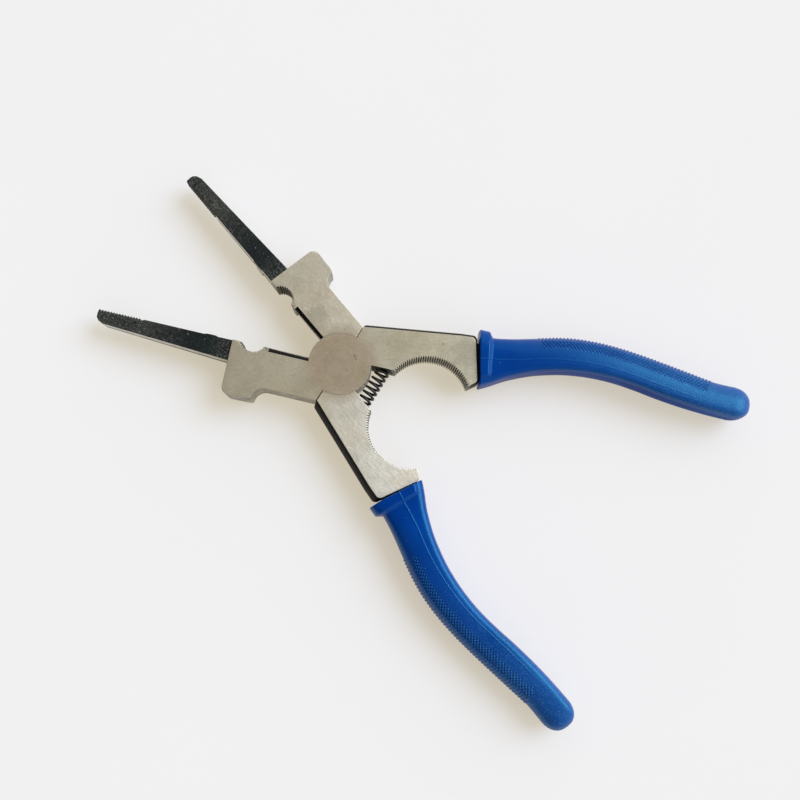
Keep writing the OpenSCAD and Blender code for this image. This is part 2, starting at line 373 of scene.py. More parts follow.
def nose_outline():
    """Teeth near the tip, a low bump near the root, and the corner taken off the tip."""
    points = [(NOSE_BACK, 0.3), (39.4, 0.34), (39.9, 0.1), (41.2, 0.06), (43.0, 0.12), (43.7, 0.36),
              (TEETH_START - 1.2, 0.3)]
    for i in range(NOSE_TEETH):
        u = TEETH_START + i * NOSE_PITCH
        points += [(u, NOSE_LAND + NOSE_DEPTH), (u + 0.55 * NOSE_PITCH, NOSE_LAND)]
    points += [(NOSE_TIP - 0.2, 0.3), (NOSE_TIP, 1.5), (NOSE_TIP - 0.1, 2.8), (NOSE_TIP - 0.9, 3.8),
               (NOSE_TIP - 2.6, 4.5), (HEAD_FRONT, 6.8), (NOSE_BACK, 6.9)]
    return points


def shank_outline(longer, draft):
    """The shank's ground face, and how far its black sides bulge beyond it at the mid-plane.

    The ground face is longer than the plain one, and stops a draft short of the outer side."""
    start = math.degrees(math.asin((SEAT - ARC_CENTRE[1]) / ARC_R))
    stop = -180 - math.degrees(math.asin((ARC_END - ARC_CENTRE[1]) / ARC_R))
    points = [polar(UNDER_DISC, 190), (-DISC_R, SEAT), (-14.5, SEAT - 0.1)]
    points += toothed_arc(ARC_CENTRE, ARC_R, ARC_DEPTH, start, stop, ARC_TEETH)
    back = SHANK_REAR - longer
    points += [(back + 1.5, -3.1), (back + 0.4, -4.1), (back, -5.0)]
    rear = len(points)
    points += arc((back + 4.9, -17.7), REAR_CORNER_R, 187, 262, REAR_STEPS)
    shoulder = SHOULDER - 180
    front = polar(OUTER_CORNER_Y / math.sin(math.radians(shoulder)), shoulder)
    points += [(x, np.interp(x, [-37.8, front[0]], [-19.45, front[1]]))
               for x in np.linspace(-35, front[0] - 0.4, 14)]
    outer = len(points)
    points += [front, polar(UNDER_DISC, shoulder)]
    # so far the outline is the mid-plane's; the ground face stops short of it on the outer side
    side = np.subtract(points[outer - 1], points[rear + REAR_STEPS])
    bulge = np.zeros((len(points), 2))
    bulge[rear:outer] = draft * np.array((side[1], -side[0])) / np.linalg.norm(side)
    # the front corner slides along the joint's shoulder, and this share of that goes outwards
    outward_share = 0.89
    bulge[outer] = draft / outward_share * np.array(polar(1, shoulder))
    ground = np.array(points) - bulge
    # behind the ground face, the black forging runs on almost to the collar
    bulge[rear - 2:rear + REAR_STEPS + 1, 0] -= REAR_REACH - longer
    return ground, bulge


def tang_outline():
    """A bar that follows the grip, a wall's width inside it, and starts inside the shank."""
    t = np.arange(0, TANG_END + 0.01, 0.5)
    o, n = spline(GRIP_OUTER, t), spline(GRIP_INNER, t)
    across = (n - o) / np.linalg.norm(n - o, axis=1)[:, None]
    o, n = o + across * TANG_WALL, n - across * TANG_WALL
    return np.vstack([o[:1] + [[3, 0.6]], o, n[::-1], n[:1] + [[3, -0.4]]])


def rivet_profile(grow, past):
    """Half section of the rivet or, grown, of its hole, from the lower end to the upper."""
    top, r, head = HEAD_HALF, RIVET_R + grow, RIVET_HEAD_R + grow
    cone = top - (RIVET_HEAD_R - RIVET_R)
    bevel = 0.03
    upper = [(r, cone), (head, top - bevel), (head if past else head - bevel, top + past)]
    lower = [(x, -z) for x, z in reversed(upper)]
    end = top + past
    return [(0, -end)] + lower + upper + [(0, end)]


def forging(name, face):
    """One drop-forged half. face is 1 where the tool's front is at +z, and -1 for the other."""
    points, cut = jaw_outline()
    body = prism(name, points, HEAD_HALF, reshape=cutter_shape(face, list(cut)))
    points, bulge = shank_outline(*SHANKS[face])
    shank = prism("shank", points, HEAD_HALF, bulge=bulge)
    points = nose_outline()
    halves = np.interp([p[0] for p in points], [NOSE_BACK, NOSE_TIP], NOSE_HALVES)
    nose = prism("nose", points, halves, edge=0.15)
    tang = prism("tang", tang_outline(), TANG_HALF, edge=0.2)
    for other in (nose, shank, tang):
        combine(body, other, "UNION")
    lap_joint(body)
    spring_pocket(body)
    clean(body)
    return body


def spring_pocket(body):
    """Drills the pocket for the spring's end into the shank."""
    outside = -1
    profile = [(0, outside), (POCKET_R, outside), (POCKET_R, POCKET_DEPTH), (0, POCKET_DEPTH)]
    pocket = lathe("pocket", profile, 48)
    into_shank = Matrix.Rotation(math.pi / 2, 4, "X")
    pocket.data.transform(Matrix.Translation((POCKET_X, SEAT, 0)) @ into_shank)
    combine(body, pocket, "DIFFERENCE")


def lap_joint(body):
    """Clears the other half's disc below, adds this half's above, and bores the rivet's hole."""
    gap = JOINT_GAP / 2
    wall = DISC_R + 0.04
    below = -HEAD_HALF - 3
    combine(body, lathe("recess", [(0, below), (wall, below), (wall, gap), (0, gap)]), "DIFFERENCE")
    rim = HEAD_HALF
    bevel = 0.05
    disc = [(0, gap), (DISC_R, gap), (DISC_R, rim - bevel), (DISC_R - bevel, rim), (0, rim)]
    combine(body, lathe("disc", disc), "UNION")
    combine(body, lathe("hole", rivet_profile(RIVET_PLAY, 1)), "DIFFERENCE")


def tooth_finish(centre, middle, crest_radius, crest, flank):
    """The crests of the teeth take the crest finish, and their flanks and roots the darker flank
    finish: a painted shade between the teeth.
    """
    radius = math.hypot(centre[0] - middle[0], centre[1] - middle[1])
    crest_depth = 0.14
    return crest if radius < crest_radius + crest_depth else flank


def finish_of(centre, normal):
    """The material slot of a face of the forging, from where it lies and where it looks."""
    u, v, z = centre
    upright = abs(normal[2])
    flat = upright > 0.9
    if u > HEAD_FRONT - 0.01:
        return NOSE_SIDE if upright < 0.25 and u < TEETH_START else SCALE
    on_tang = abs(z) < TANG_HALF + 0.01 and u < -40 and flat
    if on_tang or u < SHANK_REAR - 0.3:
        return SCALE
    on_disc = math.hypot(u, v) < DISC_R + 0.3
    if CUTTER_BACK < u < CUTTER_FRONT + 0.01 and v < 2 and upright < 0.98 and not on_disc:
        edge = HEAD_HALF * CUTTER_LEVELS[1] < abs(z) < HEAD_HALF * CUTTER_LEVELS[2]
        return SIDE if edge else CUT
    if flat and abs(z) > HEAD_HALF - 0.3:
        return GROUND
    if on_disc:
        return SIDE
    # the notch's crests take tooth_shade, and its flanks and roots the near-black edge finish, a
    # painted shade between the teeth
    if math.hypot(u - NOTCH[0], v - NOTCH[1]) < NOTCH_R + 0.2:
        return tooth_finish(centre, NOTCH, NOTCH_R - NOTCH_DEPTH, TOOTH, EDGE)
    if v < 0 and u < 0:
        off_arc = abs(math.hypot(u - ARC_CENTRE[0], v - ARC_CENTRE[1]) - ARC_R)
        on_arc = off_arc < 0.8 and u > SHANK_REAR + 1.5
        # on the arc the crests keep the lighter wall, and the flanks and roots take tooth_shade, a
        # painted shade between the teeth
        return tooth_finish(centre, ARC_CENTRE, ARC_R - ARC_DEPTH, SIDE, TOOTH) if on_arc else EDGE
    return SIDE


def paint_forging(piece, materials):
    """Gives the forging its materials, in the order of the slots."""
    for m in materials:
        piece.data.materials.append(m)
    for polygon in piece.data.polygons:
        polygon.material_index = finish_of(polygon.center, polygon.normal)


# ---- the grip ----

GRIP_HALF = 6.1
GRIP_END_HALF = 5.4
DOME = 5.6
COLLAR_LENGTH = 2.8
COLLAR_CHAMFER = 1.15
COLLAR_RISE = 2.0
COLLAR_TOP_SHARE = 0.42  # of the rise, on the top and the underside
SHARP_FRONT = -46  # edges in front of this may be sharp
PAD_EDGE = (2.1, 2.9)  # the pad's sloping inner border, from the inner side of the grip
KNURL_START, KNURL_END = 3.0, 11.0  # in stations
KNURL_PITCH, KNURL_ROW = 1.15, 0.62
KNURL_REACH = 8.4  # round the section, to each side of the outermost point
KNURL_FADE = (6.6, 8.2)
KNURL_BREAK = (4.2, 4.8)  # where the ribs turn into pyramids
KNURL_DEPTH = 0.42
KNURL_SINK = 0.12  # of the roots, under the smooth surface
KNURL_LEAN = 0.10
SEAM_HALF_WIDTH = 0.17
SEAM_HEIGHT = 0.08
QUARTER_STEPS = 250


def grip_stations():
    """Stations of the grip's rings: close together at the collar and along the knurl."""
    t = np.arange(0, LAST, 0.01)
    middle = (spline(GRIP_OUTER, t) + spline(GRIP_INNER, t)) / 2
    length = np.concatenate([[0], np.cumsum(np.linalg.norm(np.diff(middle, axis=0), axis=1))])
    rear = COLLAR_LENGTH + COLLAR_CHAMFER
    front = [0, 0.04, 0.13, 0.3, 0.6, 1.2, 1.9]
    for edge in (COLLAR_LENGTH, rear):
        front += [edge - 0.3, edge - 0.15, edge - 0.05, edge + 0.05, edge + 0.15, edge + 0.3]
    front += [rear + 0.8, rear + 1.5, rear + 2.3]
    coarse, fine = 0.12, 0.027
    plain = np.arange(np.interp(front[-1], length, t) + coarse, KNURL_START - 2 * coarse, coarse)
    knurled = np.arange(KNURL_START - 0.2, KNURL_END + 0.2, fine)
    plain_end = np.linspace(KNURL_END + 0.25, LAST, 8)
    return np.concatenate([np.interp(front, length, t), plain, knurled, plain_end])


def section(half_width, half_height, seam_w, outer_power, inner_power):
    """Upper half of the grip's section as a dense line from its outermost point inwards.

    It is a quarter of a superellipse on each side of the seam, fuller on the inner side."""
    a = np.linspace(0, np.pi / 2, QUARTER_STEPS)
    c, s = np.cos(a), np.sin(a)
    outer = np.column_stack([seam_w + (half_width - seam_w) * c ** (2 / outer_power),
                             half_height * s ** (2 / outer_power)])
    inner = np.column_stack([seam_w - (half_width + seam_w) * c ** (2 / inner_power),
                             half_height * s ** (2 / inner_power)])
    return np.vstack([outer, inner[-2::-1]])


def along_section(line):
    """Points on the upper half at chosen places: dense on the knurl and at the seam."""
    length = np.concatenate([[0], np.cumsum(np.linalg.norm(np.diff(line, axis=0), axis=1))])
    seam = length[QUARTER_STEPS - 1]
    on_knurl, between, past_seam = 55, 9, 41
    near = np.linspace(0, KNURL_REACH, on_knurl) * min(1, (seam - 1) / KNURL_REACH)
    middle = np.linspace(near[-1], seam - SEAM_HALF_WIDTH, between)[1:-1]
    bead = seam + SEAM_HALF_WIDTH * np.array([-1, -0.5, 0, 0.5, 1])
    inner = np.linspace(seam + SEAM_HALF_WIDTH, length[-1], past_seam)[1:]
    at = np.concatenate([near, middle, bead, inner])
    return np.column_stack([np.interp(at, length, line[:, k]) for k in (0, 1)]), at, seam


def grip_rings():
    """The grip's smooth rings, facts for their points, and their stations.

    The facts are the distance round from the outermost point, the distance from the seam, and
    the distance across from the inner side."""
    dome = np.radians([12, 24, 35, 46, 56, 65, 73, 79, 84, 87.5])
    steps = [(t, 0.0, 1.0) for t in grip_stations()]
    steps += [(LAST, DOME * math.sin(a), math.cos(a) ** 0.85) for a in dome]
    rings, facts = [], []
    for t, lift, shrink in steps:
        o, n = spline(GRIP_OUTER, t)[0], spline(GRIP_INNER, t)[0]
        wide = np.linalg.norm(o - n)
        across = (o - n) / wide
        along = np.array([across[1], -across[0]])
        middle = (o + n) / 2 + along * lift
        high = GRIP_HALF + (GRIP_END_HALF - GRIP_HALF) * min(1, t / LAST)
        seam_share = np.interp(t, [0, 1, 2.5, 5, 8, LAST], [0.5, 0.49, 0.36, 0.29, 0.25, 0.3])
        outer_power = np.interp(t, [0, 1, 3, LAST], [5.5, 3.6, 2.25, 2.1])
        inner_power = np.interp(t, [0, 2, 5, 9, LAST], [6.0, 4.8, 3.8, 3.6, 2.8])
        line = section(wide / 2, high, wide * (seam_share - 0.5), outer_power, inner_power)
        upper, at, seam = along_section(line)
        both = np.vstack([upper, upper[-2:0:-1] * [1, -1]]) * shrink
        distance = np.concatenate([at, -at[-2:0:-1]])
        rings.append(np.column_stack([middle + across * both[:, :1], both[:, 1]]))
        from_inner = both[:, 0] + wide * shrink / 2
        facts.append(np.column_stack([distance, np.abs(distance) - seam, from_inner]))
    return np.array(rings), np.array(facts), np.array([s[0] for s in steps])


def ring_normals(rings):
    """Unit normals at the points of rings, looking away from the middle of each ring."""
    along = np.gradient(rings, axis=0)
    around = np.roll(rings, -1, 1) - np.roll(rings, 1, 1)
    normal = np.cross(around, along)
    normal /= np.maximum(np.linalg.norm(normal, axis=2), 1e-9)[..., None]
    out = rings - rings.mean(1)[:, None]
    flip = np.sign((normal * out).sum(2).mean(1))[:, None, None]
    return normal * flip


def ramp(x, low, high, radius=0.12):
    """A straight ramp from 0 to 1 with its two corners rounded."""
    shifts = np.linspace(-radius, radius, 7)
    return sum(np.clip((x + shift - low) / (high - low), 0, 1) for shift in shifts) / len(shifts)


def knurl(distance, length, station):
    """Leaning ribs down the outer side, which break into staggered pyramids towards the top."""
    row = np.round(distance / KNURL_ROW)
    off_row = 2 * np.abs(distance / KNURL_ROW - row)
    top = smooth(np.abs(distance), *KNURL_BREAK)
    leaning = KNURL_LEAN * distance * (1 - top)
    phase = length / KNURL_PITCH + leaning + 0.5 * (row % 2) * np.round(top)
    off_crest = 2 * np.abs(phase - np.round(phase))
    bump = np.clip(1 - off_crest - (0.1 + 0.45 * top) * off_row, 0, 1)
    reach = 1 - smooth(np.abs(distance), *KNURL_FADE)
    # the pattern starts and ends on a slant
    slant = 0.04 * np.abs(distance)
    ends = smooth(station, KNURL_START + slant, KNURL_START + slant + 0.06)
    ends = ends * (1 - smooth(station, KNURL_END - slant - 0.1, KNURL_END - slant))
    return reach * ends * ((KNURL_DEPTH + 0.1 * top) * bump - KNURL_SINK)


def grip_surface():
    """The grip's outer rings, with its collar, seam and knurl raised on them."""
    rings, facts, station = grip_rings()
    distance, off_seam, from_inner = facts[..., 0], facts[..., 1], facts[..., 2]
    middle = rings.mean(1)
    edge_step = np.linalg.norm(np.diff(rings[:, 0], axis=0), axis=1)
    length = np.concatenate([[0], np.cumsum(edge_step)])[:, None]
    middle_step = np.linalg.norm(np.diff(middle, axis=0), axis=1)
    fore = np.concatenate([[0], np.cumsum(middle_step)])[:, None]
    station = station[:, None]
    normal = ring_normals(rings)
    # the collar stands proud on the outer side, and as a pad on the top and the underside
    back = 1 - ramp(fore, COLLAR_LENGTH, COLLAR_LENGTH + COLLAR_CHAMFER)
    upright = np.abs(normal[..., 2])
    pad = np.minimum(ramp(from_inner, *PAD_EDGE), back)
    rise = COLLAR_RISE * (1 - (1 - COLLAR_TOP_SHARE) * upright) * pad
    rim = -0.3 * np.interp(fore, [0, 0.06, 0.2], [1, 0.35, 0])
    bead = SEAM_HEIGHT * (1 - np.clip(np.abs(off_seam) / SEAM_HALF_WIDTH, 0, 1)) ** 0.7
    bead = bead * (1 - smooth(station, 9.0, 11.5))
    height = rise + rim + bead + knurl(distance, length, station) * (station < LAST)
    return rings + normal * height[..., None]


def tang_socket(ring):
    """Rings of the socket for the tang, with a point on the ray of each point of the given ring."""
    o, n = spline(GRIP_OUTER, 0)[0], spline(GRIP_INNER, 0)[0]
    across = (o - n) / np.linalg.norm(o - n)
    ray, high = (ring[:, :2] - (o + n) / 2) @ across, ring[:, 2]
    sockets = []
    for t in np.arange(0, TANG_END + 0.01, 0.5):
        o, n = spline(GRIP_OUTER, t)[0], spline(GRIP_INNER, t)[0]
        wide = np.linalg.norm(o - n)
        half_width = wide / 2 - TANG_WALL + SOCKET_PLAY
        reach = np.maximum(np.abs(ray) / half_width, np.abs(high) / (TANG_HALF + SOCKET_PLAY))
        w, z = ray / reach, high / reach
        sockets.append(np.column_stack([(o + n) / 2 + (o - n) / wide * w[:, None], z]))
    return np.array(sockets)


def grip(name):
    """A moulded grip, hollow for the tang, with sharp edges only round its collar's mouth."""
    outer = grip_surface()
    sockets = tang_socket(outer[0])
    piece = skin(name, np.vstack([sockets[::-1], outer]))
    sharp = math.radians(50)
    for polygon in piece.data.polygons:
        polygon.use_smooth = True
    b = bmesh.new()
    b.from_mesh(piece.data)
    for e in b.edges:
        in_front = max(v.co.x for v in e.verts) > SHARP_FRONT
        e.smooth = not (in_front and e.is_manifold and e.calc_face_angle(0) > sharp)
    b.to_mesh(piece.data)
    b.free()
    return piece


# ---- the spring ----

SPRING_D = 4.8
WIRE = 0.82
SPRING_LENGTH = 14.8
SPRING_X = -12.4
COILS = 7
END_COIL_PITCH = 1.15  # in wire diameters


def spring(name):
    """Close-wound end coils and even coils between, along Y behind the joint."""
    closed = END_COIL_PITCH * WIRE
    turns = COILS + 2
    active = SPRING_LENGTH - WIRE - 2 * closed
    steps, sides = 40, 14
    radius = (SPRING_D - WIRE) / 2
    rings = []
    for turn in np.linspace(0, turns, turns * steps + 1):
        y = np.interp(turn, [0, 1, turns - 1, turns],
                      [0, closed, closed + active, 2 * closed + active])
        y += WIRE / 2 - SPRING_LENGTH / 2
        a = 2 * math.pi * turn
        ring = []
        for i in range(sides):
            b = 2 * math.pi * i / sides
            q = radius + WIRE / 2 * math.cos(b)
            ring.append((SPRING_X + q * math.cos(a), y + WIRE / 2 * math.sin(b), q * math.sin(a)))
        rings.append(ring)
    return skin(name, rings)


# ---- materials ----

PIVOT = (0, 0, HEAD_HALF * MM)  # the middle of the joint
JOINT_TONE = (0.42, 0.345, 0.25)


class Nodes:
    """A short way to write a node material."""

    def __init__(self, name):
        self.material = bpy.data.materials.new(name)
        self.material.use_nodes = True
        self.tree = self.material.node_tree
        self.shader = next(n for n in self.tree.nodes if n.type == "BSDF_PRINCIPLED")
        place = self.add("ShaderNodeTexCoord")
        self.coords = place.outputs["Object"]
        self.facing = place.outputs["Normal"]

    def add(self, kind, **settings):
        node = self.tree.nodes.new(kind)
        for key, value in settings.items():
            setattr(node, key, value)
        return node

    def feed(self, socket, value):
        """Links another node's output to a socket, or sets its number or colour."""
        if isinstance(value, bpy.types.NodeSocket):
            self.tree.links.new(value, socket)
        elif isinstance(value, (tuple, list)) and len(value) == 3 and socket.type == "RGBA":
            socket.default_value = (*value, 1)
        else:
            socket.default_value = value

    def place(self, scale=(1, 1, 1), turn=0.0):
        """The object's own coordinates along axes turned about Z, each with its own scale."""
        node = self.add("ShaderNodeMapping", vector_type="TEXTURE")
        self.feed(node.inputs["Vector"], self.coords)
        node.inputs["Rotation"].default_value = (0, 0, math.radians(turn))
        node.inputs["Scale"].default_value = [1 / s for s in scale]
        return node.outputs["Vector"]

    def noise(self, scale, detail=3.0, rough=0.55, at=None):
        node = self.add("ShaderNodeTexNoise")
        self.feed(node.inputs["Vector"], at or self.coords)
        node.inputs["Scale"].default_value = scale
        node.inputs["Detail"].default_value = detail
        node.inputs["Roughness"].default_value = rough
        return node.outputs["Fac"]

    def span(self, value, low, high, to_low=0.0, to_high=1.0):
        """A value's place between two limits, carried over to two others and held there."""
        node = self.add("ShaderNodeMapRange")
        for name, v in zip(("Value", "From Min", "From Max", "To Min", "To Max"),
                           (value, low, high, to_low, to_high)):
            self.feed(node.inputs[name], v)
        return node.outputs["Result"]

    def math(self, operation, a, b):
        node = self.add("ShaderNodeMath", operation=operation)
        self.feed(node.inputs[0], a)
        self.feed(node.inputs[1], b)
        return node.outputs[0]

    def mix(self, share, a, b, blend="MIX"):
        node = self.add("ShaderNodeMix", data_type="RGBA", blend_type=blend)
        self.feed(node.inputs[0], share)
        self.feed(node.inputs[6], a)
        self.feed(node.inputs[7], b)
        return node.outputs[2]

    def axis(self, name, vector=None):
        """One component of a vector, or of the object's own coordinates."""
        node = self.add("ShaderNodeSeparateXYZ")
        self.feed(node.inputs[0], vector or self.coords)
        return node.outputs[name]

    def distance(self, centre):
        node = self.add("ShaderNodeVectorMath", operation="DISTANCE")
        self.feed(node.inputs[0], self.coords)
        node.inputs[1].default_value = centre
        return node.outputs["Value"]

    def bump(self, height, strength, depth, below=None):
        node = self.add("ShaderNodeBump")
        node.inputs["Strength"].default_value = strength
        node.inputs["Distance"].default_value = depth * MM
        self.feed(node.inputs["Height"], height)
        if below:
            self.feed(node.inputs["Normal"], below)
        return node.outputs["Normal"]

    def set(self, **values):
        """Feeds the shader's inputs, named with underscores, and gives the material."""
        for key, value in values.items():
            self.feed(self.shader.inputs[key.replace("_", " ")], value)
        return self.material


def scratched(n, colour, turn, brushed):
    """Brush marks one way, brighter hairs across them, and duller streaks, most on the shank."""
    scratches = n.noise(1, 6, 0.7, n.place((300, 3000, 900), turn))
    light = n.mix(1.0, colour, (1.0 + brushed, 1.0 + brushed, 1.02 + brushed), "MULTIPLY")
    colour = n.mix(n.span(scratches, 0.46, 0.66), colour, light)
    glint = n.mix(1.0, colour, (1.20, 1.20, 1.21), "MULTIPLY")
    for hair_turn in (turn + 38, turn - 52):
        hairs = n.noise(1, 2, 0.5, n.place((230, 2400, 500), hair_turn))
        colour = n.mix(n.span(hairs, 0.61, 0.70), colour, glint)
    streaks = n.noise(1, 4, 0.6, n.place((260, 1500, 500), turn + 9))
    faded = n.mix(1.0, colour, (1 - brushed, 1 - brushed, 1 - brushed), "MULTIPLY")
    on_shank = n.span(n.axis("X"), -0.012, 0.0, 1, 0.3)
    streaked = n.math("MULTIPLY", n.span(streaks, 0.48, 0.66), on_shank)
    return n.mix(streaked, colour, faded), scratches


def rubbed_arc(n, colour):
    """A dark, broken arc that something has rubbed into the joint's upper face."""
    top = 2 * HEAD_HALF * MM
    radius = 0.0053
    off = n.math("ABSOLUTE", n.math("SUBTRACT", n.distance((0, 0, top)), radius), 0)
    beside = n.span(n.distance((-0.0034, -0.0040, top)), 0.0012, 0.0026, 1, 0)
    rubbed = n.math("MULTIPLY", n.span(off, 0.00008, 0.00022, 1, 0), beside)
    rubbed = n.math("MULTIPLY", rubbed, n.span(n.noise(1300, 2), 0.42, 0.56))
    return n.mix(rubbed, colour, (0.10, 0.08, 0.06))


def ground_steel(name, jaw_tone, shank_tone, dark_spot, turn, brushed):
    """Satin ground faces: a tone for each end, a browner joint, a darker spot, clouds of tarnish,
    fine scratches and a few dark pits."""
    n = Nodes(name)
    joint = n.span(n.distance(PIVOT), DISC_R * MM, 0.0145, 1, 0)
    cloud = n.noise(110, 5, 0.6)
    along = n.mix(n.span(n.axis("X"), -0.042, 0.028, 1, 0), jaw_tone, shank_tone)
    # a soft, ragged darker spot round a given point
    spot_darkened = n.mix(1.0, along, (0.84, 0.83, 0.82), "MULTIPLY")
    edge = n.span(n.noise(300, 3), 0.3, 0.7, -0.0014, 0.0014)
    in_dark_spot = n.span(n.math("ADD", n.distance(dark_spot), edge), 0.0036, 0.0052, 1, 0)
    along = n.mix(in_dark_spot, along, spot_darkened)
    tarnish = n.mix(1.0, along, (0.99, 0.96, 0.91), "MULTIPLY")
    along = n.mix(n.span(n.noise(75, 3), 0.46, 0.60), along, tarnish)
    base = n.mix(joint, along, JOINT_TONE)
    dark = n.mix(1.0, base, (0.78, 0.77, 0.74), "MULTIPLY")
    colour = n.mix(n.span(cloud, 0.38, 0.66), base, dark)
    colour, scratches = scratched(n, colour, turn, brushed)
    grain = n.noise(1700, 3, 0.6)
    shade = n.mix(1.0, colour, (0.86, 0.86, 0.85), "MULTIPLY")
    colour = n.mix(n.span(grain, 0.45, 0.7), colour, shade)
    colour = n.mix(n.span(n.noise(760, 2), 0.735, 0.78), colour, (0.07, 0.06, 0.045))
    colour = rubbed_arc(n, colour)
    rough = n.span(cloud, 0.3, 0.7, 0.40, 0.52)
    normal = n.bump(scratches, 0.3, 0.03, n.bump(cloud, 0.2, 0.2, n.bump(grain, 0.25, 0.03)))
    return n.set(Base_Color=colour, Metallic=0.6, Roughness=rough, Normal=normal)


def forging_scale(name):
    """Black forging scale: greyer to the tip, colder and rubbed near the root, and speckled."""
    n = Nodes(name)
    grain = n.noise(2300, 4, 0.7)
    cloud = n.noise(150, 3)
    tip = n.span(n.distance(PIVOT), 0.048, 0.064)
    colour = n.mix(tip, (0.0035, 0.0078, 0.0095), (0.026, 0.028, 0.025))
    darker = n.mix(1.0, colour, (0.55, 0.62, 0.62), "MULTIPLY")
    colour = n.mix(n.span(cloud, 0.45, 0.62), colour, darker)
    bare = n.mix(tip, (0.026, 0.034, 0.034), (0.140, 0.150, 0.135))
    colour = n.mix(n.span(grain, 0.52, 0.66), colour, bare)
    root = n.span(n.distance(PIVOT), 0.036, 0.042, 1, 0)
    worn = n.math("MULTIPLY", root, n.span(n.noise(1900, 3), 0.48, 0.60))
    colour = n.mix(worn, colour, (0.085, 0.09, 0.078))
    colour = n.mix(n.span(n.noise(1500, 1), 0.745, 0.78), colour, (0.26, 0.27, 0.25))
    colour = n.mix(n.span(n.noise(800, 3), 0.60, 0.68), colour, (0.002, 0.002, 0.002))
    normal = n.bump(grain, 0.5, 0.08, n.bump(cloud, 0.3, 0.3))
    rough = n.span(grain, 0.35, 0.7, 0.42, 0.65)
    n.shader.inputs["Specular IOR Level"].default_value = 0.22
    return n.set(Base_Color=colour, Roughness=rough, Normal=normal)


def forging_edge(name):
    """The same scale on the outer sides of the shanks, handled until it is dark and dull."""
    n = Nodes(name)
    grain = n.noise(1900, 3, 0.6)
    colour = n.mix(n.span(grain, 0.45, 0.66), (0.007, 0.0063, 0.0045), (0.020, 0.018, 0.013))
    colour = n.mix(n.span(n.noise(1100, 1), 0.755, 0.79), colour, (0.16, 0.155, 0.14))
    n.shader.inputs["Specular IOR Level"].default_value = 0.12
    rough = n.span(grain, 0.3, 0.7, 0.5, 0.65)
    return n.set(Base_Color=colour, Roughness=rough, Normal=n.bump(grain, 0.4, 0.06))


def steel_wall(name, light, dark, marks_tone):
    """Milled walls, with marks that run through the thickness."""
    n = Nodes(name)
    marks = n.noise(1, 4, 0.6, n.place((1800, 1800, 160)))
    cloud = n.noise(260, 3)
    colour = n.mix(n.span(cloud, 0.35, 0.65), light, dark)
    colour = n.mix(n.span(marks, 0.55, 0.7), colour, marks_tone)
    normal = n.bump(marks, 0.4, 0.04)
    rough = n.span(cloud, 0.3, 0.7, 0.4, 0.55)
    return n.set(Base_Color=colour, Metallic=0.5, Roughness=rough, Normal=normal)


def nose_wall(name):
    """The sides of the nose: a bright ground band between the dark edges of the forging."""
    n = Nodes(name)
    middle = (HEAD_HALF + 0.8) * MM
    ragged = n.span(n.noise(330, 2), 0.3, 0.7, -0.0004, 0.0004)
    off = n.math("ABSOLUTE", n.math("SUBTRACT", n.axis("Z"), middle), 0)
    band = n.span(n.math("ADD", off, ragged), 0.0017, 0.0022, 1, 0)
    marks = n.noise(1, 3, 0.6, n.place((2300, 2300, 350)))
    bright = n.mix(n.span(marks, 0.42, 0.66), (0.66, 0.65, 0.61), (0.46, 0.45, 0.42))
    colour = n.mix(band, (0.007, 0.007, 0.006), bright)
    metallic = n.span(band, 0, 1, 0, 0.85)
    normal = n.bump(marks, 0.2, 0.02)
    return n.set(Base_Color=colour, Metallic=metallic, Roughness=0.36, Normal=normal)


def cutter_black(name):
    """The induction-hardened bevels of the cutter."""
    n = Nodes(name)
    marks = n.noise(1, 3, 0.6, n.place((500, 3500, 3500)))
    colour = n.mix(n.span(marks, 0.45, 0.7), (0.002, 0.0015, 0.002), (0.008, 0.007, 0.008))
    n.shader.inputs["Specular IOR Level"].default_value = 0.15
    rough = n.span(marks, 0.3, 0.7, 0.4, 0.55)
    return n.set(Base_Color=colour, Roughness=rough, Normal=n.bump(marks, 0.3, 0.03))


def rivet_steel(name):
    """The rivet's ground heads: the joint's tone, with cloudy marks and a few dents."""
    n = Nodes(name)
    cloud = n.noise(240, 4)
    dents = n.noise(900, 2)
    colour = n.mix(n.span(cloud, 0.38, 0.66), JOINT_TONE, (0.33, 0.27, 0.195))
    colour = n.mix(n.span(dents, 0.71, 0.76), colour, (0.12, 0.10, 0.08))
    normal = n.bump(cloud, 0.3, 0.12, n.bump(dents, 0.2, 0.05))
    rough = n.span(cloud, 0.3, 0.7, 0.40, 0.52)
    return n.set(Base_Color=colour, Metallic=0.6, Roughness=rough, Normal=normal)


def spring_steel(name):
    """Black oxide on drawn wire."""
    n = Nodes(name)
    draw = n.noise(1200, 3)
    colour = n.mix(n.span(draw, 0.4, 0.7), (0.004, 0.004, 0.004), (0.014, 0.014, 0.013))
    rough = n.span(draw, 0.3, 0.7, 0.35, 0.5)
    return n.set(Base_Color=colour, Roughness=rough, Normal=n.bump(draw, 0.2, 0.02))


